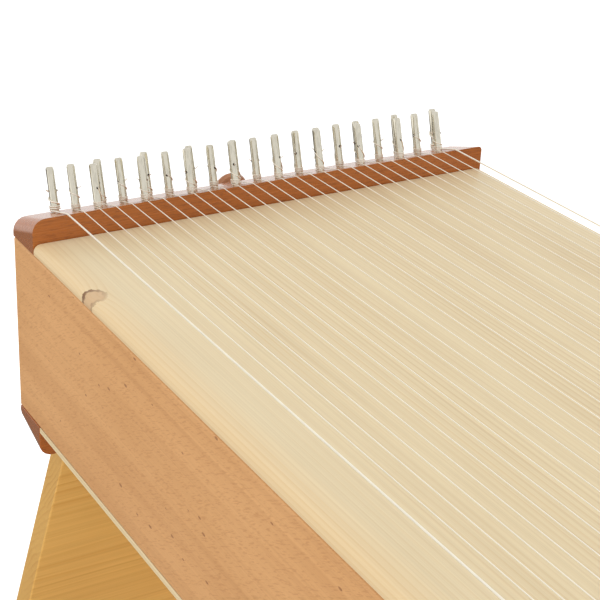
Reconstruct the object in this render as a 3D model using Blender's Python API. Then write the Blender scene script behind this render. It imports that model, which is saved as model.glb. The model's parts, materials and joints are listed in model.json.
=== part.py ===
# Monochord on a panel stand: a long shallow sound box with twenty-eight strings of one
# pitch length, tuned by pins in a wedge-shaped head bar.
# Metres, +Z up. X runs across the strings, +Y towards the tuning pins, the floor is Z = 0
# and the origin lies under the middle of the box.

import math

import bmesh
import bpy
from mathutils import Matrix, Vector

# Sound box
BOX_LENGTH = 1.200
BOX_WIDTH = 0.330
SIDE_HEIGHT = 0.118
SIDE_THICKNESS = 0.015
END_THICKNESS = 0.018
SOUNDBOARD_THICKNESS = 0.0065
SOUNDBOARD_EDGE_RADIUS = 0.0045
BACK_THICKNESS = 0.0038
BRACE_WIDTH = 0.012
BRACE_HEIGHT = 0.022
BRACE_COUNT = 3
BRACE_PITCH = 0.290

# Wedge-shaped bars at both ends, above and below the sides
BAR_DEPTH = 0.033
BAR_FRONT_HEIGHT = 0.022
BAR_SLOPE = math.radians(17.45)
BAR_ROUND_LEFT = 0.0085
BAR_ROUND_RIGHT = 0.003

# Strings
STRING_COUNT = 28
STRING_MARGIN = 0.0224
PLAIN_RADIUS = 0.00030
BASS_RADIUS = 0.00055
STRING_LIFT = 0.0011
HITCH_DISTANCE = 0.0235
HITCH_RAIL_DEPTH = 0.005
HITCH_RAIL_HEIGHT = 0.004

# Tuning pins
PIN_RADIUS = 0.0025
PIN_ABOVE = 0.028
PIN_BELOW = 0.012
PIN_SPREAD = 0.0006
PIN_HEAD_START = 0.0145
PIN_HEAD_HALF_WIDTH = 0.00185
PIN_EYE_HEIGHT = 0.0130
PIN_EYE_RADIUS = 0.0006
PIN_ROWS = (0.0290, 0.0200, 0.0100)
PIN_TURN_STEP = math.radians(137.5)
PIN_SIDES = 16
BORE_SIDES = 12
BORE_DEPTH = 0.0135

# Knob on the head end
KNOB_RADIUS = 0.0125
KNOB_LENGTH = 0.020
KNOB_SIDES = 24

# Stand
STAND_HEIGHT = 0.500
STAND_THICKNESS = 0.019
STAND_SETBACK = 0.004
STAND_TOP_HALF = 0.146
STAND_SPLAY = 0.26
STAND_FOOT_WIDTH = 0.085
STAND_ARCH_HEIGHT = 0.300
STAND_ARCH_RADIUS = 0.045
STRETCHER_HEIGHT = 0.090
STRETCHER_Z = 0.355
TENON_HEIGHT = 0.050
TENON_LENGTH = 0.045
WEDGE_THICKNESS = 0.010
WEDGE_WIDTH = 0.014
WEDGE_LENGTH = 0.085
WEDGE_TAPER = 0.004

GAP = 0.0003
EDGE_BREAK = 0.001

HALF_LENGTH = BOX_LENGTH / 2
HALF_WIDTH = BOX_WIDTH / 2
BAR_FRONT_Y = HALF_LENGTH - BAR_DEPTH
SIDE_BOTTOM = STAND_HEIGHT
SIDE_TOP = SIDE_BOTTOM + SIDE_HEIGHT
BAR_TOP = SIDE_TOP + BAR_FRONT_HEIGHT
BAR_DROP = BAR_DEPTH * math.tan(BAR_SLOPE)
STRING_PITCH = (BOX_WIDTH - 2 * STRING_MARGIN) / (STRING_COUNT - 1)


def clear_scene():
    for obj in list(bpy.data.objects):
        bpy.data.objects.remove(obj, do_unlink=True)


def material(name, colour, roughness, metallic=0.0):
    made = bpy.data.materials.new(name)
    made.use_nodes = True
    shader = made.node_tree.nodes["Principled BSDF"]
    shader.inputs["Base Color"].default_value = (*colour, 1.0)
    shader.inputs["Roughness"].default_value = roughness
    shader.inputs["Metallic"].default_value = metallic
    return made


def add_object(name, bm, finish, helper=False):
    """A mesh object from a bmesh, hidden from renders when it is a cutter."""
    bmesh.ops.recalc_face_normals(bm, faces=bm.faces)
    mesh = bpy.data.meshes.new(name)
    bm.to_mesh(mesh)
    bm.free()
    obj = bpy.data.objects.new(name, mesh)
    bpy.context.scene.collection.objects.link(obj)
    if finish:
        mesh.materials.append(finish)
    if helper:
        obj.hide_render = True
        obj.display_type = "WIRE"
    return obj


def add_boolean(obj, other, operation):
    modifier = obj.modifiers.new(operation.title(), "BOOLEAN")
    modifier.operation = operation
    modifier.solver = "EXACT"
    modifier.object = other


def add_edge_break(obj, width=EDGE_BREAK, segments=1):
    modifier = obj.modifiers.new("Edge break", "BEVEL")
    modifier.width = width
    modifier.segments = segments
    modifier.limit_method = "ANGLE"
    modifier.angle_limit = math.radians(50)


def shade_round(mesh):
    mesh.shade_smooth()
    mesh.set_sharp_from_angle(angle=math.radians(35))


def box(bm, low, high):
    """A closed box between two corners."""
    size = Vector(high) - Vector(low)
    middle = (Vector(high) + Vector(low)) / 2
    made = bmesh.ops.create_cube(bm, size=1.0)
    bmesh.ops.scale(bm, vec=size, verts=made["verts"])
    bmesh.ops.translate(bm, vec=middle, verts=made["verts"])


def arc(centre, radius, start, end, steps):
    """Points of an arc in a plane, angles in degrees."""
    points = []
    for step in range(steps + 1):
        angle = math.radians(start + (end - start) * step / steps)
        points.append((centre[0] + radius * math.cos(angle), centre[1] + radius * math.sin(angle)))
    return points


def extrude_outline(bm, outline, y_low, y_high):
    """Extrudes a closed X-Z outline along Y and returns the vertices of its far end."""
    near = [bm.verts.new((x, y_low, z)) for x, z in outline]
    face = bm.faces.new(near)
    made = bmesh.ops.extrude_face_region(bm, geom=[face], use_keep_orig=True)
    far = [item for item in made["geom"] if isinstance(item, bmesh.types.BMVert)]
    bmesh.ops.translate(bm, vec=(0, y_high - y_low, 0), verts=far)
    return far


def board(name, low, high, finish, edge=EDGE_BREAK):
    bm = bmesh.new()
    box(bm, low, high)
    obj = add_object(name, bm, finish)
    if edge:
        add_edge_break(obj, edge)
    return obj


def rounded_top_outline(height, left, right, steps):
    """A rectangle on Z = 0, as wide as the box, with two rounded upper corners."""
    outline = [(-HALF_WIDTH, 0.0), (HALF_WIDTH, 0.0)]
    outline += arc((HALF_WIDTH - right, height - right), right, 0, 90, steps)
    outline += arc((-HALF_WIDTH + left, height - left), left, 90, 180, steps)
    return outline


def wedge_bar(name, finish, at_head, on_top):
    """An end bar whose outer face slopes away from the strings' edge towards the box's end."""
    outline = rounded_top_outline(BAR_FRONT_HEIGHT, BAR_ROUND_LEFT, BAR_ROUND_RIGHT, 5)
    bm = bmesh.new()
    far = extrude_outline(bm, outline, 0.0, BAR_DEPTH)
    for vert in far:
        if vert.co.z > GAP:
            vert.co.z -= BAR_DROP
    if not on_top:
        bmesh.ops.scale(bm, vec=(1, 1, -1), verts=bm.verts)
    if not at_head:
        bmesh.ops.scale(bm, vec=(1, -1, 1), verts=bm.verts)
    y = BAR_FRONT_Y if at_head else -BAR_FRONT_Y
    z = SIDE_TOP + GAP if on_top else SIDE_BOTTOM - GAP
    obj = add_object(name, bm, finish)
    obj.location = (0, y, z)
    return obj


def string_x(index):
    return -HALF_WIDTH + STRING_MARGIN + index * STRING_PITCH


def string_radius(index):
    return BASS_RADIUS if index in (0, STRING_COUNT - 1) else PLAIN_RADIUS


def slope_point(x, distance, lift):
    """A point on the head bar's slope, so far behind its front edge and so far off its face."""
    y = BAR_FRONT_Y + distance * math.cos(BAR_SLOPE) + lift * math.sin(BAR_SLOPE)
    z = BAR_TOP + GAP - distance * math.sin(BAR_SLOPE) + lift * math.cos(BAR_SLOPE)
    return Vector((x, y, z))


def pin_frame(index):
    """A pin's place on the slope and its turn, with the string leaving its left side."""
    x = string_x(index) + PIN_RADIUS + GAP + string_radius(index)
    seat = slope_point(x, PIN_ROWS[index % len(PIN_ROWS)], PIN_SPREAD * math.sin(2.4 * index))
    return seat


def pin_ring(bm, z, radius, half_width):
    """A ring of the pin: round, or cut to a square with the round left at its corners."""
    verts = []
    for side in range(PIN_SIDES):
        angle = 2 * math.pi * (side + 0.5) / PIN_SIDES
        reach = half_width / max(abs(math.cos(angle)), abs(math.sin(angle)))
        r = min(radius, reach)
        verts.append(bm.verts.new((r * math.cos(angle), r * math.sin(angle), z)))
    return verts


def tuning_pin_mesh(finish):
    """One pin: round shank, cross-drilled eye, and a head that four flats taper to a square."""
    round_only = 2 * PIN_RADIUS
    levels = (
        (-PIN_BELOW, PIN_RADIUS * 0.76, round_only),
        (-PIN_BELOW + 0.0008, PIN_RADIUS, round_only),
        (PIN_HEAD_START, PIN_RADIUS, round_only),
        (PIN_HEAD_START + 0.0025, PIN_RADIUS, PIN_RADIUS * 0.91),
        (PIN_ABOVE - 0.0007, PIN_RADIUS * 0.96, PIN_HEAD_HALF_WIDTH),
        (PIN_ABOVE, PIN_RADIUS * 0.80, PIN_HEAD_HALF_WIDTH * 0.84),
    )
    bm = bmesh.new()
    rings = [pin_ring(bm, *level) for level in levels]
    for lower, upper in zip(rings, rings[1:]):
        for side in range(PIN_SIDES):
            after = (side + 1) % PIN_SIDES
            bm.faces.new((lower[side], lower[after], upper[after], upper[side]))
    bm.faces.new(list(reversed(rings[0])))
    bm.faces.new(rings[-1])
    blank = add_object("pin_blank", bm, finish, helper=True)

    eye_bm = bmesh.new()
    bmesh.ops.create_cone(
        eye_bm, cap_ends=True, segments=8, radius1=PIN_EYE_RADIUS, radius2=PIN_EYE_RADIUS, depth=4 * PIN_RADIUS
    )
    turn = Matrix.Translation((0, 0, PIN_EYE_HEIGHT)) @ Matrix.Rotation(math.radians(90), 4, "Y")
    bmesh.ops.transform(eye_bm, matrix=turn, verts=eye_bm.verts)
    eye = add_object("pin_eye_cutter", eye_bm, None, helper=True)
    add_boolean(blank, eye, "DIFFERENCE")

    graph = bpy.context.evaluated_depsgraph_get()
    mesh = bpy.data.meshes.new_from_object(blank.evaluated_get(graph))
    mesh.name = "tuning_pin"
    shade_round(mesh)
    bpy.data.objects.remove(blank, do_unlink=True)
    bpy.data.objects.remove(eye, do_unlink=True)
    return mesh


def tuning_pins(finish):
    """Three staggered rows of pins square to the sloped bar, each at its own turn."""
    mesh = tuning_pin_mesh(finish)
    for index in range(STRING_COUNT):
        pin = bpy.data.objects.new(f"tuning_pin_{index + 1:02d}", mesh)
        bpy.context.scene.collection.objects.link(pin)
        turn = Matrix.Rotation(index * PIN_TURN_STEP, 4, "Z")
        lean = Matrix.Rotation(-BAR_SLOPE, 4, "X")
        pin.matrix_world = Matrix.Translation(pin_frame(index)) @ lean @ turn


def drill_pin_bores(head_bar):
    """Blind bores square to the slope, one for each pin."""
    bm = bmesh.new()
    flat = math.cos(math.pi / BORE_SIDES)
    above = 0.004
    depth = BORE_DEPTH + above
    for index in range(STRING_COUNT):
        made = bmesh.ops.create_cone(
            bm,
            cap_ends=True,
            segments=BORE_SIDES,
            radius1=(PIN_RADIUS + GAP) / flat,
            radius2=(PIN_RADIUS + GAP) / flat,
            depth=depth,
        )
        seat = slope_point(pin_frame(index).x, PIN_ROWS[index % len(PIN_ROWS)], 0.0)
        lean = Matrix.Rotation(-BAR_SLOPE, 4, "X")
        sink = Matrix.Translation((0, 0, above - depth / 2))
        bmesh.ops.transform(bm, matrix=Matrix.Translation(seat) @ lean @ sink, verts=made["verts"])
    cutter = add_object("pin_bore_cutter", bm, None, helper=True)
    add_boolean(head_bar, cutter, "DIFFERENCE")


def sweep_wire(bm, path, radius, sides=6):
    """A round wire along a path that stays in one Y-Z plane."""
    rings = []
    for step, point in enumerate(path):
        before = (point - path[max(step - 1, 0)]).normalized()
        after = (path[min(step + 1, len(path) - 1)] - point).normalized()
        along = (before + after).normalized()
        up = Vector((1, 0, 0)).cross(along).normalized()
        ring = []
        for side in range(sides):
            angle = 2 * math.pi * side / sides
            spoke = Vector((1, 0, 0)) * math.cos(angle) + up * math.sin(angle)
            ring.append(bm.verts.new(point + radius * spoke))
        rings.append(ring)
    for first, second in zip(rings, rings[1:]):
        for side in range(sides):
            after = (side + 1) % sides
            bm.faces.new((first[side], first[after], second[after], second[side]))
    bm.faces.new(list(reversed(rings[0])))
    bm.faces.new(rings[-1])


def string_path(index):
    """From inside the hitch rail, up the tail bar's slope, over both bar edges, down to the pin."""
    x = string_x(index)
    radius = string_radius(index)
    clear = radius + GAP
    pin = slope_point(x, PIN_ROWS[index % len(PIN_ROWS)], STRING_LIFT)
    head_edge = slope_point(x, 0.0, clear)
    tail_edge = Vector((x, -head_edge.y, head_edge.z))
    hitch = slope_point(x, HITCH_DISTANCE + HITCH_RAIL_DEPTH / 2, HITCH_RAIL_HEIGHT / 2 + GAP)
    hitch.y = -hitch.y
    return [hitch, tail_edge, head_edge, pin]


def string_set(finish):
    """All strings, fused to the steel rail that carries them on the tail bar."""
    bm = bmesh.new()
    low = HITCH_DISTANCE
    reach = HALF_WIDTH - STRING_MARGIN + 0.010
    box(bm, (-reach, low, GAP), (reach, low + HITCH_RAIL_DEPTH, GAP + HITCH_RAIL_HEIGHT))
    lean = Matrix.Rotation(-BAR_SLOPE, 4, "X")
    seat = Matrix.Translation((0, BAR_FRONT_Y, BAR_TOP + GAP))
    bmesh.ops.transform(bm, matrix=Matrix.Scale(-1, 4, (0, 1, 0)) @ seat @ lean, verts=bm.verts)
    rail = add_object("string_set", bm, finish)

    wire_bm = bmesh.new()
    for index in range(STRING_COUNT):
        sweep_wire(wire_bm, string_path(index), string_radius(index))
    wires = add_object("string_wires", wire_bm, None, helper=True)
    add_boolean(rail, wires, "UNION")


def sound_box(side_wood, top_wood, back_wood, brace_wood):
    for sign, side in ((-1, "left"), (1, "right")):
        outer = sign * HALF_WIDTH
        inner = sign * (HALF_WIDTH - SIDE_THICKNESS)
        low = (min(outer, inner), -HALF_LENGTH, SIDE_BOTTOM)
        high = (max(outer, inner), HALF_LENGTH, SIDE_TOP)
        board(f"side_panel_{side}", low, high, side_wood)

    inside = HALF_WIDTH - SIDE_THICKNESS - GAP
    for sign, end in ((1, "head"), (-1, "tail")):
        faces = sorted((sign * HALF_LENGTH, sign * (HALF_LENGTH - END_THICKNESS)))
        board(
            f"{end}_panel", (-inside, faces[0], SIDE_BOTTOM), (inside, faces[1], SIDE_TOP), side_wood, edge=None
        )

    reach = BAR_FRONT_Y - GAP
    radius = SOUNDBOARD_EDGE_RADIUS
    bm = bmesh.new()
    extrude_outline(bm, rounded_top_outline(SOUNDBOARD_THICKNESS, radius, radius, 4), -reach, reach)
    soundboard = add_object("soundboard", bm, top_wood)
    soundboard.location.z = SIDE_TOP + GAP
    board(
        "back_plate",
        (-HALF_WIDTH, -reach, SIDE_BOTTOM - GAP - BACK_THICKNESS),
        (HALF_WIDTH, reach, SIDE_BOTTOM - GAP),
        back_wood,
        edge=None,
    )

    half = BRACE_WIDTH / 2
    for index in range(BRACE_COUNT):
        y = (index - (BRACE_COUNT - 1) / 2) * BRACE_PITCH
        top = (-inside, y - half, SIDE_TOP - BRACE_HEIGHT), (inside, y + half, SIDE_TOP)
        board(f"soundboard_brace_{index + 1}", *top, brace_wood)
    for sign, end in ((-1, "tail"), (1, "head")):
        y = sign * BRACE_PITCH / 2
        low = (-inside, y - half, SIDE_BOTTOM)
        board(f"back_brace_{end}", low, (inside, y + half, SIDE_BOTTOM + BRACE_HEIGHT), brace_wood)


def head_knob(finish):
    """A turned knob on the head bar's end face."""
    waist = KNOB_RADIUS * 0.55
    profile = [
        (0.0, 0.0),
        (KNOB_RADIUS * 0.72, 0.0),
        (waist, KNOB_LENGTH * 0.15),
        (waist, KNOB_LENGTH * 0.38),
        (KNOB_RADIUS * 0.93, KNOB_LENGTH * 0.58),
        (KNOB_RADIUS, KNOB_LENGTH * 0.74),
        (KNOB_RADIUS * 0.88, KNOB_LENGTH * 0.91),
        (KNOB_RADIUS * 0.50, KNOB_LENGTH),
        (0.0, KNOB_LENGTH),
    ]
    bm = bmesh.new()
    points = [bm.verts.new((radius, 0, height)) for radius, height in profile]
    edges = [bm.edges.new(pair) for pair in zip(points, points[1:])]
    bmesh.ops.spin(
        bm,
        geom=points + edges,
        cent=(0, 0, 0),
        axis=(0, 0, 1),
        angle=2 * math.pi,
        steps=KNOB_SIDES,
        use_merge=True,
    )
    bmesh.ops.remove_doubles(bm, verts=bm.verts, dist=1e-6)
    lay = Matrix.Rotation(math.radians(-90), 4, "X")
    bmesh.ops.transform(bm, matrix=lay, verts=bm.verts)
    knob = add_object("head_knob", bm, finish)
    shade_round(knob.data)
    knob.location = (-0.006, HALF_LENGTH + GAP, SIDE_TOP - 0.0005)


def stand_half_width(z):
    return STAND_TOP_HALF + STAND_SPLAY * (STAND_HEIGHT - BAR_FRONT_HEIGHT - z)


def stand_outline():
    """A splayed end board with an arch between its two feet, as X-Z points."""
    top = STAND_HEIGHT - BAR_FRONT_HEIGHT
    floor_half = stand_half_width(0.0)
    foot_inner = floor_half - STAND_FOOT_WIDTH
    lean = math.atan(STAND_SPLAY)
    centre_z = STAND_ARCH_HEIGHT - STAND_ARCH_RADIUS
    tangent_z = centre_z + STAND_ARCH_RADIUS * math.sin(lean)
    centre_x = foot_inner - STAND_SPLAY * tangent_z - STAND_ARCH_RADIUS * math.cos(lean)
    corner = arc((centre_x, centre_z), STAND_ARCH_RADIUS, math.degrees(lean), 90, 5)
    outline = [(-floor_half, 0.0), (-foot_inner, 0.0)]
    outline += [(-x, z) for x, z in corner]
    outline += reversed(corner)
    outline += [(foot_inner, 0.0), (floor_half, 0.0)]
    outline += [(stand_half_width(top), top), (-stand_half_width(top), top)]
    return outline


def stand_end(name, finish, sign):
    """An end board; its top edge is bevelled to the bar that rests on it."""
    near = STAND_SETBACK
    far = near + STAND_THICKNESS
    slope = math.tan(BAR_SLOPE)
    top = STAND_HEIGHT - BAR_FRONT_HEIGHT
    seat_drop = GAP / math.cos(BAR_SLOPE) + GAP
    bm = bmesh.new()
    extrude_outline(bm, stand_outline(), near, far)
    for vert in bm.verts:
        if vert.co.z > top - GAP:
            vert.co.z = top + vert.co.y * slope - seat_drop
            vert.co.x = math.copysign(stand_half_width(vert.co.z), vert.co.x)
    bmesh.ops.translate(bm, vec=(0, BAR_FRONT_Y, 0), verts=bm.verts)
    bmesh.ops.scale(bm, vec=(1, sign, 1), verts=bm.verts)
    obj = add_object(name, bm, finish)
    half_thick = STAND_THICKNESS / 2 + GAP
    half_high = TENON_HEIGHT / 2 + GAP
    slot_bm = bmesh.new()
    box(
        slot_bm,
        (-half_thick, sign * BAR_FRONT_Y - 0.06, STRETCHER_Z - half_high),
        (half_thick, sign * BAR_FRONT_Y + 0.06, STRETCHER_Z + half_high),
    )
    add_boolean(obj, add_object(f"{name}_mortise", slot_bm, None, helper=True), "DIFFERENCE")


def wedge_y(sign):
    """The outer face of an end board, against which a wedge draws the stretcher's tenon."""
    return sign * (BAR_FRONT_Y + STAND_SETBACK + STAND_THICKNESS + GAP)


def stretcher(finish):
    """A long board with a slotted tenon at each end."""
    inner = BAR_FRONT_Y + STAND_SETBACK - GAP
    outer = inner + STAND_THICKNESS + TENON_LENGTH
    half_thick = STAND_THICKNESS / 2
    bm = bmesh.new()
    half = STRETCHER_HEIGHT / 2
    tenon = TENON_HEIGHT / 2
    corners = [(-inner, -half), (inner, -half), (inner, -tenon), (outer, -tenon), (outer, tenon)]
    corners += [(inner, tenon), (inner, half), (-inner, half), (-inner, tenon)]
    corners += [(-outer, tenon), (-outer, -tenon), (-inner, -tenon)]
    extrude_outline(bm, corners, -half_thick, half_thick)
    bmesh.ops.rotate(bm, cent=(0, 0, 0), matrix=Matrix.Rotation(math.radians(90), 3, "Z"), verts=bm.verts)
    bmesh.ops.translate(bm, vec=(0, 0, STRETCHER_Z), verts=bm.verts)
    obj = add_object("stretcher", bm, finish)
    slot_bm = bmesh.new()
    half_slot = WEDGE_THICKNESS / 2 + GAP
    for sign in (-1, 1):
        faces = sorted((wedge_y(sign) - sign * 0.002, wedge_y(sign) + sign * (WEDGE_WIDTH + GAP)))
        box(
            slot_bm,
            (-half_slot, faces[0], STRETCHER_Z - half),
            (half_slot, faces[1], STRETCHER_Z + half),
        )
    add_boolean(obj, add_object("wedge_slots", slot_bm, None, helper=True), "DIFFERENCE")


def wedges(finish):
    """Tapered wedges driven down through the tenons."""
    for sign, end in ((1, "head"), (-1, "tail")):
        low = STRETCHER_Z - WEDGE_LENGTH / 2
        high = STRETCHER_Z + WEDGE_LENGTH / 2
        inner = wedge_y(sign)
        outer = inner + sign * WEDGE_WIDTH
        bm = bmesh.new()
        half = WEDGE_THICKNESS / 2
        box(bm, (-half, min(inner, outer), low), (half, max(inner, outer), high))
        for vert in bm.verts:
            if vert.co.z < STRETCHER_Z and abs(vert.co.y - outer) < GAP:
                vert.co.y -= sign * WEDGE_TAPER
        add_edge_break(add_object(f"stretcher_wedge_{end}", bm, finish))


def build():
    clear_scene()
    mahogany = material("bar_mahogany", (0.36, 0.13, 0.05), 0.35)
    alder = material("side_alder", (0.66, 0.41, 0.20), 0.45)
    spruce = material("soundboard_spruce", (0.80, 0.67, 0.44), 0.40)
    plate_spruce = material("back_spruce", (0.82, 0.68, 0.44), 0.50)
    brace_spruce = material("brace_spruce", (0.78, 0.64, 0.42), 0.60)
    pine = material("stand_pine", (0.74, 0.47, 0.17), 0.50)
    nickel = material("pin_nickel", (0.72, 0.70, 0.64), 0.22, 1.0)
    steel = material("string_steel", (0.80, 0.78, 0.74), 0.25, 1.0)

    sound_box(alder, spruce, plate_spruce, brace_spruce)
    head_bar = wedge_bar("head_bar", mahogany, at_head=True, on_top=True)
    wedge_bar("tail_bar", mahogany, at_head=False, on_top=True)
    wedge_bar("head_bar_lower", mahogany, at_head=True, on_top=False)
    wedge_bar("tail_bar_lower", mahogany, at_head=False, on_top=False)
    drill_pin_bores(head_bar)
    tuning_pins(nickel)
    string_set(steel)
    head_knob(mahogany)
    stand_end("stand_end_head", pine, 1)
    stand_end("stand_end_tail", pine, -1)
    stretcher(pine)
    wedges(pine)


build()
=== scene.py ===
import json
import math

import bmesh
import bpy
from mathutils import Matrix, Vector


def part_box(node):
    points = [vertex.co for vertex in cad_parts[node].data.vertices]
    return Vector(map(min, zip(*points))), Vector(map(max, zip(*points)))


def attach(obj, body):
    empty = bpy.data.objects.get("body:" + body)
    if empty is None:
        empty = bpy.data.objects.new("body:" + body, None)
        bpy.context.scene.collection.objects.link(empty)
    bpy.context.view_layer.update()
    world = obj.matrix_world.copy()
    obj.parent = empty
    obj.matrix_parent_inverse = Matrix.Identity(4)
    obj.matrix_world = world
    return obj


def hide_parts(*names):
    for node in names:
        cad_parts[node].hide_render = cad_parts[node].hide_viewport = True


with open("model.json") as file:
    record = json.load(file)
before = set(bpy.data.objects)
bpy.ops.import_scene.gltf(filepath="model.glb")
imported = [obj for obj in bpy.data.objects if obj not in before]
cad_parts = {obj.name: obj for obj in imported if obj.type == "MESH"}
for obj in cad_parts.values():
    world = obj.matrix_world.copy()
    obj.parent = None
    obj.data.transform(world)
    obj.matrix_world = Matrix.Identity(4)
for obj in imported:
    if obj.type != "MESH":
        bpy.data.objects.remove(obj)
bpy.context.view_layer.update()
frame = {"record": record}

# Driving values: lengths in metres, angles in radians
ROOT = "instrument_and_stand"
BAR_SLOPE = math.radians(17.45)
BAR_EDGE_ROUND = 0.0006

# Strings; the lift is how far up its pin each one is met
STRING_COUNT = 28
STRING_MARGIN = 0.0224
PLAIN_RADIUS = 0.00030
BASS_RADIUS = 0.00055
STRING_LIFT = 0.0012
EDGE_BENDS = 5

# Tuning pins; the dome is given in shares of the radius and drops below the pin's end
PIN_RADIUS = 0.0025
PIN_ABOVE = 0.028
PIN_BELOW = 0.0118
PIN_FOOT_RADIUS = 0.0019
PIN_FOOT_TAPER = 0.0008
PIN_FIRST_RING = 0.0008
PIN_RINGS = 22
PIN_SIDES = 40
PIN_SEAM = 1e-7
PIN_DOME_HEIGHT = 0.0018
PIN_DOME = ((0.97, 0.0012), (0.90, 0.0007), (0.78, 0.0003), (0.60, 0.0001), (0.0, 0.0))
PIN_FLAT_START = 0.0145
PIN_FLAT_HALF_WIDTH = 0.00220
EYE_HEIGHT = 0.0130
# The dark rod at each eye is painted shade of the hole, a little wider than the hole and standing proud of
# the shank
EYE_SHADE_RADIUS = 0.00085
EYE_SHADE_PROUD = 0.00005

# How far each pin is driven in and turned, unlike its neighbours
PIN_SINK = 0.0006
PIN_SINK_STEP = 2.4
PIN_TURN = math.radians(137.5)

# Windings; the cut end is given in pin radii along the eye, then metres across and up
COIL_PITCH = 0.00085
LEAST_PITCH_IN_WIRE_RADII = 2.2
FEWEST_TURNS = 2.5
EXTRA_TURN_FOR_EACH_ROW = 0.5
PIN_ROWS = 3
STEPS_FOR_EACH_TURN = 20
LEAST_CLIMB = 1.2
CLIMB_STEPS = 24
CLIMB_CURVE = 1.3
CUT_END = ((0.6, 0.0, 0.0), (-1.2, 0.0, 0.0002), (-1.75, 0.0004, 0.0012))

# Hitch rail
HITCH_DISTANCE = 0.0235
HITCH_DEPTH = 0.005
HITCH_HEIGHT = 0.004
HITCH_PAST_STRINGS = 0.010
HITCH_EDGE_ROUND = 0.0005
BALL_RADIUS = 0.0019
BALL_BEHIND_IN_RADII = 0.8

# Boards
WELD_DISTANCE = 0.00002
FLAT_WITHIN = math.radians(2)
EASED_ABOVE = math.radians(28)

# Soundboard's knot and warm edge
KNOT_FROM_SIDE = 0.0040
KNOT_FROM_BAR = 0.0811
KNOT_HALF_WIDTH = 0.0084
KNOT_HALF_LENGTH = 0.0083
KNOT_RING_BEND = 0.0042
WARM_EDGE_WIDTH = 0.020

# Growth rings: how strongly noise moves them, and each glued strip's shift in strip heights
DRIFT_GAIN = 4
STRIP_SHIFT_UP = 1.6
STRIP_SHIFT_ASIDE = 0.7

head_low, head_high = (Vector(corner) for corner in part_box("head_bar"))
side_low, side_high = (Vector(corner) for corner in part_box("side_panel_left"))
board_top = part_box("soundboard")[1][2]
BAR_FRONT_Y = head_low.y
BAR_TOP = head_high.z
HALF_WIDTH = head_high.x
STRING_PITCH = (2 * HALF_WIDTH - 2 * STRING_MARGIN) / (STRING_COUNT - 1)
all_joints = frame["record"]["behaviour"]["joints"]
pin_joints = [joint for joint in all_joints if joint["name"].startswith("pin_turn")]


# Node helpers

def grey(level):
    return (level, level, level)


BLACK = grey(0.0)
WHITE = grey(1.0)


def with_alpha(colour):
    """A plain colour gets its alpha, and a socket stays as it is."""
    return (*colour, 1.0) if isinstance(colour, tuple) else colour


def by_axis(along, with_grain, across_grain):
    """A scale that is one number along the grain and another across it."""
    return [with_grain if axis == along else across_grain for axis in "XYZ"]


class Nodes:
    """A material's node tree with short calls for the nodes that the woods and metals share."""

    def __init__(self, name):
        self.material = bpy.data.materials.new(name)
        self.material.use_nodes = True
        self.tree = self.material.node_tree
        self.shader = self.tree.nodes["Principled BSDF"]
        self.place = self.add("ShaderNodeTexCoord").outputs["Object"]

    def add(self, kind, **values):
        node = self.tree.nodes.new(kind)
        for key, value in values.items():
            setattr(node, key, value)
        return node

    def feed(self, socket, value):
        if isinstance(value, bpy.types.NodeSocket):
            self.tree.links.new(value, socket)
        else:
            socket.default_value = value

    def math(self, operation, first, second=0.0):
        node = self.add("ShaderNodeMath", operation=operation)
        self.feed(node.inputs[0], first)
        self.feed(node.inputs[1], second)
        return node.outputs[0]

    def split(self, vector):
        node = self.add("ShaderNodeSeparateXYZ")
        self.feed(node.inputs[0], vector)
        return node.outputs

    def length(self, vector):
        node = self.add("ShaderNodeVectorMath", operation="LENGTH")
        self.feed(node.inputs[0], vector)
        return node.outputs["Value"]

    def scaled(self, vector, scale):
        node = self.add("ShaderNodeMapping")
        self.feed(node.inputs["Vector"], vector)
        node.inputs["Scale"].default_value = scale
        return node.outputs[0]

    def noise(self, vector, scale, detail=3.0, roughness=0.5):
        node = self.add("ShaderNodeTexNoise")
        self.feed(node.inputs["Vector"], vector)
        node.inputs["Scale"].default_value = scale
        node.inputs["Detail"].default_value = detail
        node.inputs["Roughness"].default_value = roughness
        return node.outputs["Fac"]

    def ramp(self, factor, *stops):
        node = self.add("ShaderNodeValToRGB")
        self.feed(node.inputs["Fac"], factor)
        elements = node.color_ramp.elements
        while len(elements) < len(stops):
            elements.new(0.5)
        for element, (position, colour) in zip(elements, stops):
            element.position = position
            element.color = with_alpha(colour)
        return node.outputs["Color"]

    def mix(self, factor, first, second, blend="MIX"):
        node = self.add("ShaderNodeMix", data_type="RGBA", blend_type=blend)
        self.feed(node.inputs["Factor"], factor)
        self.feed(node.inputs["A"], with_alpha(first))
        self.feed(node.inputs["B"], with_alpha(second))
        return node.outputs["Result"]

    def tinted(self, share, colour, tint):
        """The colour, and by the given share the colour times the tint."""
        return self.mix(share, colour, self.mix(1.0, colour, tint, "MULTIPLY"))

    def bump(self, height, distance, strength):
        node = self.add("ShaderNodeBump")
        node.inputs["Strength"].default_value = strength
        node.inputs["Distance"].default_value = distance
        self.feed(node.inputs["Height"], height)
        self.feed(self.shader.inputs["Normal"], node.outputs["Normal"])

    def set(self, **values):
        """The shader's inputs by name, with an underscore for each space."""
        for name, value in values.items():
            self.feed(self.shader.inputs[name.replace("_", " ")], value)


# Woods and metals

def lamella_shift(net, xyz, first, lamella):
    """Glued strips, each cut from another place in the log, as two distances from its pith."""
    strip = net.math("FLOOR", net.math("DIVIDE", xyz["Z"], lamella))
    chance = net.add("ShaderNodeTexWhiteNoise", noise_dimensions="1D")
    net.feed(chance.inputs["W"], strip)
    shift = chance.outputs["Value"]
    height = net.math("MODULO", xyz["Z"], lamella)
    second = net.math("ADD", height, net.math("MULTIPLY", shift, lamella * STRIP_SHIFT_UP))
    first = net.math("ADD", first, net.math("MULTIPLY", shift, lamella * STRIP_SHIFT_ASIDE))
    return first, second


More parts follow.
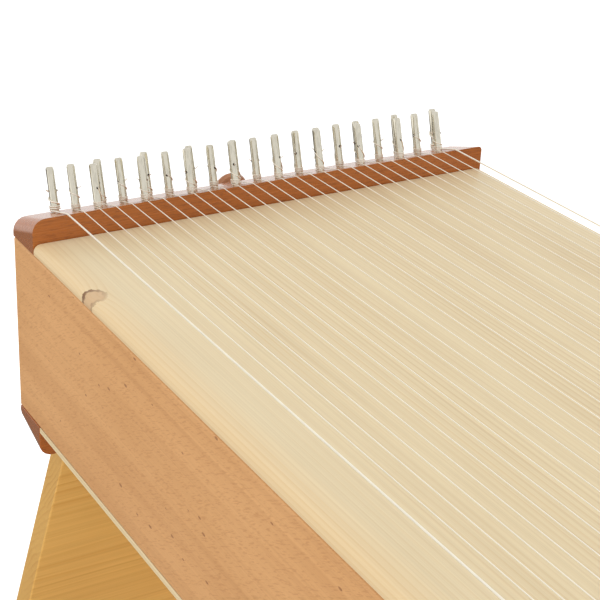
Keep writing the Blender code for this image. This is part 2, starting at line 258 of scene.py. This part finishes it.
def pith_distance(net, xyz, along, pith, lamella):
    """How far a point in the wood is from the middle of its log."""
    first_axis, second_axis = [axis for axis in "XYZ" if axis != along]
    first = net.math("SUBTRACT", xyz[first_axis], pith[0])
    if lamella:
        first, second = lamella_shift(net, xyz, first, lamella)
    else:
        second = net.math("SUBTRACT", xyz[second_axis], pith[1])
    squares = net.math("ADD", net.math("POWER", first, 2.0), net.math("POWER", second, 2.0))
    return net.math("SQRT", squares)


def knot_distance(net, knot):
    """The offset from the knot, its length with the knot's edge at 1, and the same made ragged."""
    away = net.add("ShaderNodeVectorMath", operation="SUBTRACT")
    net.feed(away.inputs[0], net.place)
    away.inputs[1].default_value = knot
    oval = (1 / KNOT_HALF_WIDTH, 1 / KNOT_HALF_LENGTH, 0.0)
    distance = net.length(net.scaled(away.outputs[0], oval))
    ragged = net.math("SUBTRACT", net.noise(net.place, scale=420.0), 0.5)
    return away.outputs[0], distance, net.math("ADD", distance, net.math("MULTIPLY", ragged, 0.55))


def pore_dashes(net, colour, late, along, dashes, lean):
    """Short dark pores that run with the grain, or lean against it by an angle in degrees."""
    turn = net.add("ShaderNodeMapping")
    net.feed(turn.inputs["Vector"], net.place)
    turn.inputs["Rotation"].default_value = (math.radians(lean), 0, 0)
    thin = net.scaled(turn.outputs[0], by_axis(along, with_grain=190.0, across_grain=1500.0))
    line = net.ramp(net.noise(thin, scale=1.0, detail=2.0), (0.34, WHITE), (0.46, BLACK))
    return net.mix(net.math("MULTIPLY", line, dashes), colour, late)


def dark_flecks(net, colour, cloud, along, fleck):
    """Small dark specks, larger where the cloud is brighter."""
    cells = net.add("ShaderNodeTexVoronoi", feature="F1")
    spaced = net.scaled(net.place, by_axis(along, with_grain=42.0, across_grain=95.0))
    net.feed(cells.inputs["Vector"], spaced)
    cells.inputs["Scale"].default_value = 1.0
    dot = net.math("LESS_THAN", cells.outputs["Distance"], net.math("MULTIPLY", cloud, fleck))
    return net.mix(net.math("MULTIPLY", dot, 0.75), colour, (0.28, 0.11, 0.045))


def warm_long_edge(net, colour, xyz):
    """The left edge of the soundboard is warmer than the rest."""
    across = net.math("DIVIDE", net.math("SUBTRACT", xyz["X"], -HALF_WIDTH), WARM_EDGE_WIDTH)
    return net.mix(net.ramp(across, (0.0, grey(0.5)), (1.0, BLACK)), colour, (0.74, 0.50, 0.24))


def knot_colour(net, colour, away, reach):
    """A brown knot whose dark rim fades to one side."""
    fill = net.ramp(reach, (0.70, grey(0.55)), (1.0, BLACK))
    colour = net.mix(fill, colour, (0.50, 0.29, 0.15))
    rim = net.ramp(reach, (0.62, BLACK), (0.80, WHITE), (0.98, WHITE), (1.0, BLACK))
    rim.node.color_ramp.interpolation = "EASE"
    offset = net.split(away)
    fade = net.math("SUBTRACT", 0.55, net.math("MULTIPLY", offset["X"], 42.0))
    fade = net.math("ADD", fade, net.math("MULTIPLY", offset["Y"], 40.0))
    fade = net.math("MINIMUM", net.math("MAXIMUM", fade, 0.0), 0.9)
    return net.mix(net.math("MULTIPLY", rim, fade), colour, (0.17, 0.07, 0.025))


def darker_end_grain(net, colour, along):
    """Faces that cut across the grain are darker."""
    facing = net.split(net.place.node.outputs["Normal"])
    share = net.math("POWER", net.math("ABSOLUTE", facing[along]), 6.0)
    return net.tinted(share, colour, (0.76, 0.74, 0.72))


def wood(name, early, late, along, pith, spacing, wobble=0.002, contrast=0.6, patch=0.25,
         roughness=0.42, coat=0.0, fleck=0.0, lamella=0.0, dashes=0.0, lean=0.0,
         specular=0.35, knot=None):
    """Growth rings round a pith line that runs along one axis, with fibres, patches and flecks."""
    net = Nodes(name)
    xyz = net.split(net.place)
    drawn_out = net.scaled(net.place, by_axis(along, with_grain=0.06, across_grain=1.0))
    fine = net.scaled(net.place, by_axis(along, with_grain=3.0, across_grain=900.0))
    broad = net.scaled(net.place, by_axis(along, with_grain=0.35, across_grain=1.0))
    fibre = net.noise(fine, scale=1.0, detail=4.0, roughness=0.7)
    cloud = net.noise(broad, scale=17.0)

    drift = net.math("SUBTRACT", net.noise(drawn_out, scale=26.0, detail=2.0), 0.5)
    radius = pith_distance(net, xyz, along, pith, lamella)
    radius = net.math("ADD", radius, net.math("MULTIPLY", drift, wobble * DRIFT_GAIN))
    if knot:
        away, distance, reach = knot_distance(net, knot)
        fall = net.math("ADD", net.math("POWER", distance, 2.0), 1.0)
        radius = net.math("ADD", radius, net.math("DIVIDE", KNOT_RING_BEND, fall))
    rings = net.math("FRACT", net.math("DIVIDE", radius, spacing))
    band = net.ramp(rings, (0.0, BLACK), (0.55, grey(0.25)), (0.88, WHITE), (1.0, BLACK))

    change = net.noise(drawn_out, scale=34.0, detail=1.0)
    zone = net.ramp(change, (0.38, grey(0.25)), (0.62, WHITE))
    colour = net.mix(net.math("MULTIPLY", net.math("MULTIPLY", band, contrast), zone), early, late)
    colour = net.tinted(patch, colour, net.ramp(cloud, (0.35, WHITE), (0.75, (0.86, 0.80, 0.72))))
    colour = net.tinted(0.55, colour, net.ramp(fibre, (0.30, (0.84, 0.80, 0.76)), (0.62, grey(1.05))))
    if dashes:
        colour = pore_dashes(net, colour, late, along, dashes, lean)
    if fleck:
        colour = dark_flecks(net, colour, cloud, along, fleck)
    if knot:
        colour = warm_long_edge(net, colour, xyz)
        colour = knot_colour(net, colour, away, reach)
    colour = darker_end_grain(net, colour, along)
    matt = net.math("ADD", net.math("MULTIPLY", fibre, 0.16), roughness - 0.08)
    net.set(Base_Color=colour, Roughness=matt, Coat_Weight=coat, Coat_Roughness=0.06,
            Specular_IOR_Level=specular)
    relief = net.math("ADD", fibre, net.math("MULTIPLY", band, 0.6))
    net.bump(relief, distance=0.00012, strength=0.35)
    return net.material


def metal(name, colour, roughness, grain, upward=1.0, shade=0.85, metallic=1.0):
    """Metal with faint darker patches, which a small upward scale draws out into upright streaks."""
    net = Nodes(name)
    smear = net.noise(net.scaled(net.place, (1.0, 1.0, upward)), scale=grain)
    tone = net.ramp(smear, (0.38, tuple(shade * part for part in colour)), (0.55, colour))
    matt = net.math("ADD", net.math("MULTIPLY", smear, 0.06), roughness - 0.03)
    net.set(Base_Color=tone, Metallic=metallic, Roughness=matt)
    return net.material


knot_place = (-HALF_WIDTH + KNOT_FROM_SIDE, BAR_FRONT_Y - KNOT_FROM_BAR, board_top)
SPRUCE = wood("soundboard_spruce", (0.725, 0.61, 0.40), (0.60, 0.42, 0.21), "Y", pith=(-0.9, -0.4),
              spacing=0.0023, wobble=0.0009, contrast=0.50, patch=0.35, roughness=0.42, coat=0.05,
              knot=knot_place)
BACK_SPRUCE = wood("back_spruce", (0.76, 0.62, 0.38), (0.60, 0.42, 0.21), "Y", pith=(-0.7, -0.3),
                   spacing=0.0034, contrast=0.4)
ALDER = wood("side_alder", (0.69, 0.375, 0.158), (0.45, 0.20, 0.07), "Y",
             pith=(-0.215, side_low.z + 0.03), spacing=0.0125, wobble=0.010, contrast=0.20, patch=0.7,
             roughness=0.45, coat=0.03, fleck=0.15, dashes=0.42, lean=30, specular=0.2)
MAHOGANY = wood("bar_mahogany", (0.46, 0.140, 0.026), (0.20, 0.055, 0.014), "X", pith=(0.60, 0.42),
                spacing=0.0036, wobble=0.006, contrast=0.28, patch=1.0, roughness=0.26, coat=0.65,
                dashes=0.45, specular=0.3)
KNOB_WOOD = wood("knob_mahogany", (0.46, 0.20, 0.09), (0.28, 0.10, 0.04), "Y", pith=(0.004, 0.60),
                 spacing=0.0022, contrast=0.5, roughness=0.35, coat=0.2)
BRACE_WOOD = wood("brace_spruce", (0.80, 0.66, 0.43), (0.62, 0.43, 0.22), "X", pith=(0.3, 0.3),
                  spacing=0.0026, contrast=0.5, roughness=0.6)
PINE = wood("stand_pine", (0.82, 0.49, 0.135), (0.64, 0.30, 0.055), "X", pith=(0.52, 0.0),
            spacing=0.0044, wobble=0.006, contrast=0.60, patch=0.6, roughness=0.42, coat=0.08,
            lamella=0.048)
PINE_LONG = wood("stretcher_pine", (0.82, 0.49, 0.135), (0.64, 0.30, 0.055), "Y", pith=(-0.03, 0.33),
                 spacing=0.0046, wobble=0.006, contrast=0.6, patch=0.6, roughness=0.42, coat=0.08)
NICKEL = metal("pin_nickel", (0.84, 0.79, 0.66), roughness=0.09, grain=700.0, upward=0.04, shade=0.88)
STEEL = metal("string_steel", (0.98, 0.92, 0.80), roughness=0.38, grain=60.0, shade=0.96, metallic=0.6)
# Painted shade for the insides of the pins' eyes
EYE_SHADE = metal("eye_shadow", (0.05, 0.045, 0.04), roughness=0.5, grain=500.0)


# Pieces

def finish_piece(obj, body, material, smooth_angle=None):
    obj.data.materials.clear()
    obj.data.materials.append(material)
    if smooth_angle:
        obj.data.shade_smooth()
        obj.data.set_sharp_from_angle(angle=math.radians(smooth_angle))
    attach(obj, body)
    return obj


def mesh_object(name, bm):
    """A new object with the bmesh's faces, turned to point outwards."""
    bmesh.ops.recalc_face_normals(bm, faces=bm.faces)
    mesh = bpy.data.meshes.new(name)
    bm.to_mesh(mesh)
    bm.free()
    obj = bpy.data.objects.new(name, mesh)
    bpy.context.scene.collection.objects.link(obj)
    return obj


def eased_board(node, material, width):
    """A board of the frame with its edges eased by sandpaper."""
    source = bpy.data.objects[node]
    bm = bmesh.new()
    bm.from_mesh(source.data)
    bmesh.ops.transform(bm, matrix=source.matrix_world, verts=bm.verts)
    bmesh.ops.remove_doubles(bm, verts=bm.verts, dist=WELD_DISTANCE)
    bmesh.ops.dissolve_limit(bm, angle_limit=FLAT_WITHIN, verts=bm.verts, edges=bm.edges)
    piece = mesh_object(f"{node}_finished", bm)
    ease = piece.modifiers.new("Eased edges", "BEVEL")
    ease.width = width
    ease.segments = 3
    ease.limit_method = "ANGLE"
    ease.angle_limit = EASED_ABOVE
    finish_piece(piece, ROOT, material, smooth_angle=30)
    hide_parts(node)


def string_x(index):
    return -HALF_WIDTH + STRING_MARGIN + index * STRING_PITCH


def string_radius(index):
    return BASS_RADIUS if index in (0, STRING_COUNT - 1) else PLAIN_RADIUS


def pin_body(index):
    return f"pin_{index + 1:02d}"


def pin_matrix(index):
    """The pin's own frame: Z up its shank, origin where it enters the wood."""
    joint = pin_joints[index]
    lean = Matrix.Rotation(-BAR_SLOPE, 4, "X")
    return Matrix.Translation(Vector(joint["pos_m"])) @ lean


def driven_pin_matrix(index):
    """The pin's frame with the pin driven in and turned."""
    sink = Matrix.Translation((0, 0, PIN_SINK * math.sin(PIN_SINK_STEP * index)))
    return pin_matrix(index) @ sink @ Matrix.Rotation(index * PIN_TURN, 4, "Z")


def shank_profile():
    """Half of the pin's outline, from the middle of its foot to the middle of its domed end."""
    profile = [(0.0, -PIN_BELOW), (PIN_FOOT_RADIUS, -PIN_BELOW)]
    profile += [(PIN_RADIUS, PIN_FOOT_TAPER - PIN_BELOW), (PIN_RADIUS, 0.0)]
    straight = PIN_ABOVE - PIN_DOME_HEIGHT - PIN_FIRST_RING
    for ring in range(PIN_RINGS + 1):
        profile.append((PIN_RADIUS, PIN_FIRST_RING + straight * ring / PIN_RINGS))
    profile += [(PIN_RADIUS * share, PIN_ABOVE - drop) for share, drop in PIN_DOME]
    return profile


def pin_shank(index):
    """Turned shank with four tapered flats and a domed end."""
    bm = bmesh.new()
    points = [bm.verts.new((radius, 0, height)) for radius, height in shank_profile()]
    edges = [bm.edges.new(pair) for pair in zip(points, points[1:])]
    bmesh.ops.spin(bm, geom=points + edges, cent=(0, 0, 0), axis=(0, 0, 1), angle=2 * math.pi,
                   steps=PIN_SIDES, use_merge=True)
    bmesh.ops.remove_doubles(bm, verts=bm.verts, dist=PIN_SEAM)
    taper = (PIN_RADIUS - PIN_FLAT_HALF_WIDTH) / (PIN_ABOVE - PIN_FLAT_START)
    for vert in bm.verts:
        if vert.co.z > PIN_FLAT_START:
            half = PIN_RADIUS - taper * (vert.co.z - PIN_FLAT_START)
            vert.co.x = max(-half, min(half, vert.co.x))
            vert.co.y = max(-half, min(half, vert.co.y))
    bmesh.ops.transform(bm, matrix=driven_pin_matrix(index), verts=bm.verts)
    shank = mesh_object(f"pin_{index + 1:02d}_shank", bm)
    finish_piece(shank, pin_body(index), NICKEL, smooth_angle=25)
    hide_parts(f"tuning_pin_{index + 1:02d}")


def pin_eye_painted_shade(index):
    """A dark rod through the pin at its cross-drilled eye, whose two ends are painted shade of the hole's
    inside.
    """
    bm = bmesh.new()
    made = bmesh.ops.create_cone(bm, cap_ends=True, segments=16, radius1=EYE_SHADE_RADIUS, radius2=EYE_SHADE_RADIUS,
                                 depth=2 * (PIN_RADIUS + EYE_SHADE_PROUD))
    sideways = Matrix.Rotation(math.radians(90), 3, "Y")
    bmesh.ops.rotate(bm, cent=(0, 0, 0), matrix=sideways, verts=made["verts"])
    bmesh.ops.translate(bm, vec=(0, 0, EYE_HEIGHT), verts=made["verts"])
    bmesh.ops.transform(bm, matrix=driven_pin_matrix(index), verts=bm.verts)
    eye = mesh_object(f"pin_{index + 1:02d}_eye", bm)
    finish_piece(eye, pin_body(index), EYE_SHADE, smooth_angle=40)


def around(radius, angle, height):
    return Vector((radius * math.cos(angle), radius * math.sin(angle), height))


def coil_points(index):
    """The wire on its pin: tight turns up the shank, a steep climb, and the cut end out of the eye."""
    radius = PIN_RADIUS + string_radius(index)
    pitch = max(COIL_PITCH, LEAST_PITCH_IN_WIRE_RADII * string_radius(index))
    turns = FEWEST_TURNS + EXTRA_TURN_FOR_EACH_ROW * (index % PIN_ROWS)
    points = []
    for step in range(int(turns * STEPS_FOR_EACH_TURN) + 1):
        turned = step / STEPS_FOR_EACH_TURN
        points.append(around(radius, math.pi - 2 * math.pi * turned, STRING_LIFT + turned * pitch))
    start = points[-1].z
    last = math.pi - 2 * math.pi * turns
    eye_angle = index * PIN_TURN
    climb = (last - eye_angle) % (2 * math.pi)
    climb = climb + 2 * math.pi if climb < LEAST_CLIMB else climb
    for step in range(1, CLIMB_STEPS + 1):
        share = step / CLIMB_STEPS
        height = start + (EYE_HEIGHT - start) * share ** CLIMB_CURVE
        points.append(around(radius, last - climb * share, height))
    out = around(1.0, eye_angle, 0)
    for radii, across, up in CUT_END:
        points.append(out * PIN_RADIUS * radii + Vector((across, 0, EYE_HEIGHT + up)))
    return points


def wire_curve(name, paths, radii):
    """Round wires, one for each path."""
    curve = bpy.data.curves.new(name, "CURVE")
    curve.dimensions = "3D"
    curve.bevel_depth = 1.0
    curve.bevel_resolution = 2
    curve.use_fill_caps = True
    for path, radius in zip(paths, radii):
        spline = curve.splines.new("POLY")
        spline.points.add(len(path) - 1)
        for point, place in zip(spline.points, path):
            point.co = (*place, 1.0)
            point.radius = radius
    obj = bpy.data.objects.new(name, curve)
    bpy.context.scene.collection.objects.link(obj)
    return obj


def pin_coil(index):
    place = pin_matrix(index)
    path = [place @ point for point in coil_points(index)]
    coil = wire_curve(f"pin_{index + 1:02d}_winding", [path], [string_radius(index)])
    finish_piece(coil, pin_body(index), STEEL)


def tail_slope_point(x, distance, lift):
    """A point at a distance down the tail bar's slope and a lift off it."""
    y = BAR_FRONT_Y + distance * math.cos(BAR_SLOPE) + lift * math.sin(BAR_SLOPE)
    return Vector((x, -y, BAR_TOP - distance * math.sin(BAR_SLOPE) + lift * math.cos(BAR_SLOPE)))


def strings():
    """Each string from the left side of its pin over both bar edges to the hitch rail."""
    paths = []
    for index in range(STRING_COUNT):
        x, radius = string_x(index), string_radius(index)
        path = [pin_matrix(index) @ Vector((-(PIN_RADIUS + radius), 0, STRING_LIFT))]
        over = BAR_EDGE_ROUND + radius
        for bend in range(EDGE_BENDS):
            angle = -BAR_SLOPE * (1 - bend / (EDGE_BENDS - 1))
            lift = BAR_TOP - BAR_EDGE_ROUND + over * math.cos(angle)
            path.append(Vector((x, BAR_FRONT_Y - over * math.sin(angle), lift)))
        tail = [Vector((point.x, -point.y, point.z)) for point in reversed(path[1:])]
        hitch = tail_slope_point(x, HITCH_DISTANCE + HITCH_DEPTH, HITCH_HEIGHT / 2)
        paths.append(path + tail + [hitch])
    wires = wire_curve("strings", paths, [string_radius(index) for index in range(STRING_COUNT)])
    finish_piece(wires, ROOT, STEEL)


def hitch_rail():
    """The steel rail on the tail bar, with a ball end behind it for each string."""
    rail = bmesh.new()
    reach = HALF_WIDTH - STRING_MARGIN + HITCH_PAST_STRINGS
    bmesh.ops.create_cube(rail, size=1.0)
    bmesh.ops.scale(rail, vec=(2 * reach, HITCH_DEPTH, HITCH_HEIGHT), verts=rail.verts)
    bmesh.ops.bevel(rail, geom=rail.edges[:], offset=HITCH_EDGE_ROUND, offset_type="OFFSET", segments=3,
                    profile=0.5, affect="EDGES", material=-1)
    seat = tail_slope_point(0, HITCH_DISTANCE + HITCH_DEPTH / 2, HITCH_HEIGHT / 2)
    place = Matrix.Translation(seat) @ Matrix.Rotation(BAR_SLOPE, 4, "X")
    bmesh.ops.transform(rail, matrix=place, verts=rail.verts)
    back = HITCH_DISTANCE + HITCH_DEPTH + BALL_RADIUS * BALL_BEHIND_IN_RADII
    for index in range(STRING_COUNT):
        made = bmesh.ops.create_uvsphere(rail, u_segments=12, v_segments=8, radius=BALL_RADIUS)
        behind = tail_slope_point(string_x(index), back, BALL_RADIUS)
        bmesh.ops.translate(rail, vec=behind, verts=made["verts"])
    piece = finish_piece(mesh_object("hitch_rail", rail), ROOT, STEEL, smooth_angle=35)
    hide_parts("string_set")


# Each board's node, slot, material and width of eased edge
EASED = (
    ("soundboard", "soundboard_spruce", SPRUCE, 0.0006),
    ("back_plate", "back_spruce", BACK_SPRUCE, 0.0005),
    ("side_panel_left", "side_alder", ALDER, 0.0004),
    ("side_panel_right", "side_alder", ALDER, 0.0004),
    ("head_panel", "side_alder", ALDER, 0.0005),
    ("tail_panel", "side_alder", ALDER, 0.0005),
    ("head_bar", "bar_mahogany", MAHOGANY, BAR_EDGE_ROUND),
    ("tail_bar", "bar_mahogany", MAHOGANY, BAR_EDGE_ROUND),
    ("head_bar_lower", "bar_mahogany", MAHOGANY, BAR_EDGE_ROUND),
    ("tail_bar_lower", "bar_mahogany", MAHOGANY, BAR_EDGE_ROUND),
    ("stand_end_head", "stand_pine", PINE, 0.0010),
    ("stand_end_tail", "stand_pine", PINE, 0.0010),
    ("stretcher", "stand_pine", PINE_LONG, 0.0010),
    ("stretcher_wedge_head", "stand_pine", PINE_LONG, 0.0004),
    ("stretcher_wedge_tail", "stand_pine", PINE_LONG, 0.0004),
)
for node, slot, material, width in EASED:
    eased_board(node, material, width)

# Nodes that keep their own shape and get a finished material
KEPT = {
    "head_knob": KNOB_WOOD,
    "soundboard_brace_1": BRACE_WOOD,
    "soundboard_brace_2": BRACE_WOOD,
    "soundboard_brace_3": BRACE_WOOD,
    "back_brace_head": BRACE_WOOD,
    "back_brace_tail": BRACE_WOOD,
}
for node, material in KEPT.items():
    kept = bpy.data.objects[node]
    kept.data.materials.clear()
    kept.data.materials.append(material)

for index in range(STRING_COUNT):
    pin_shank(index)
    pin_eye_painted_shade(index)
    pin_coil(index)
strings()
hitch_rail()


# Floor, light and camera

# The far floor's glow, which only glossy pieces see, grows between two distances
FLOOR_REACH = 12.0
GLOW_SPAN = 5.0
GLOW_STARTS = 2.7
GLOW_FULL = 3.4
GLOW_MIRRORED = 0.85
GLOW_SEEN = 0.5
WORLD_STRENGTH = 0.80
LIT_MIDDLE = Vector((0.0, 0.3, 0.6))

CAMERA_FROM_CORNER = Vector((-0.2938, -0.7869, 0.3651))
CAMERA_AZIMUTH = math.radians(31.475)
CAMERA_ELEVATION = math.radians(25.106)
CAMERA_ROLL = math.radians(2.658)
CAMERA_LENS = 90.64
SENSOR_WIDTH = 36.0


def stage_floor():
    """Pale paper, lit a little for the camera, that glossy pieces see as dark near and white far off."""
    bm = bmesh.new()
    bmesh.ops.create_grid(bm, x_segments=1, y_segments=1, size=FLOOR_REACH)
    floor = mesh_object("floor", bm)
    net = Nodes("floor_paper")
    paper = net.add("ShaderNodeBsdfDiffuse")
    glow = net.add("ShaderNodeEmission")
    ray = net.add("ShaderNodeLightPath").outputs
    net.feed(paper.inputs["Color"], net.mix(ray["Is Glossy Ray"], grey(0.86), (0.22, 0.21, 0.19)))
    far = net.math("MULTIPLY", net.length(net.place), 1 / GLOW_SPAN)
    sweep = net.ramp(far, (GLOW_STARTS / GLOW_SPAN, BLACK), (GLOW_FULL / GLOW_SPAN, WHITE))
    mirrored = net.math("MULTIPLY", net.math("MULTIPLY", sweep, ray["Is Glossy Ray"]), GLOW_MIRRORED)
    seen = net.math("MULTIPLY", ray["Is Camera Ray"], GLOW_SEEN)
    net.feed(glow.inputs["Strength"], net.math("ADD", seen, mirrored))
    both = net.add("ShaderNodeAddShader")
    net.feed(both.inputs[0], paper.outputs[0])
    net.feed(both.inputs[1], glow.outputs[0])
    net.feed(net.tree.nodes["Material Output"].inputs["Surface"], both.outputs[0])
    floor.data.materials.append(net.material)


def studio_world():
    """Even white light all round, and plain white where the camera sees the background."""
    world = bpy.data.worlds.new("studio")
    bpy.context.scene.world = world
    world.use_nodes = True
    tree = world.node_tree
    light = tree.nodes["Background"]
    light.inputs["Color"].default_value = with_alpha(WHITE)
    light.inputs["Strength"].default_value = WORLD_STRENGTH
    seen = tree.nodes.new("ShaderNodeBackground")
    seen.inputs["Color"].default_value = with_alpha(WHITE)
    path = tree.nodes.new("ShaderNodeLightPath")
    join = tree.nodes.new("ShaderNodeMixShader")
    tree.links.new(path.outputs["Is Camera Ray"], join.inputs["Fac"])
    tree.links.new(light.outputs[0], join.inputs[1])
    tree.links.new(seen.outputs[0], join.inputs[2])
    tree.links.new(join.outputs[0], tree.nodes["World Output"].inputs["Surface"])


def area_light(name, place, size, power):
    """A broad lamp that points at the instrument and isn't mirrored in it."""
    data = bpy.data.lights.new(name, "AREA")
    data.shape = "RECTANGLE"
    data.size, data.size_y = size
    data.energy = power
    lamp = bpy.data.objects.new(name, data)
    bpy.context.scene.collection.objects.link(lamp)
    lamp.location = place
    lamp.visible_glossy = False
    lamp.rotation_euler = (LIT_MIDDLE - Vector(place)).to_track_quat("-Z", "Y").to_euler()


def photo_camera():
    """The photograph's camera, placed from the corner of the head bar's front and the left side's top."""
    data = bpy.data.cameras.new("photo")
    data.lens = CAMERA_LENS
    data.sensor_width = SENSOR_WIDTH
    data.clip_start = 0.02
    camera = bpy.data.objects.new("photo", data)
    bpy.context.scene.collection.objects.link(camera)
    corner = Vector((-HALF_WIDTH, BAR_FRONT_Y, side_high.z))
    turn = Matrix.Rotation(-CAMERA_AZIMUTH, 4, "Z") @ Matrix.Rotation(math.pi / 2 - CAMERA_ELEVATION, 4, "X")
    turn = turn @ Matrix.Rotation(CAMERA_ROLL, 4, "Z")
    camera.matrix_world = Matrix.Translation(corner + CAMERA_FROM_CORNER) @ turn
    bpy.context.scene.camera = camera


stage_floor()
studio_world()
area_light("overhead", (0.3, 0.2, 2.6), size=(2.2, 2.6), power=14)
area_light("left_fill", (-2.2, -0.4, 1.2), size=(1.6, 1.6), power=15)
area_light("back_strip", (0.2, 2.4, 1.5), size=(1.8, 0.8), power=8)
photo_camera()
bpy.context.scene.view_settings.view_transform = "Standard"
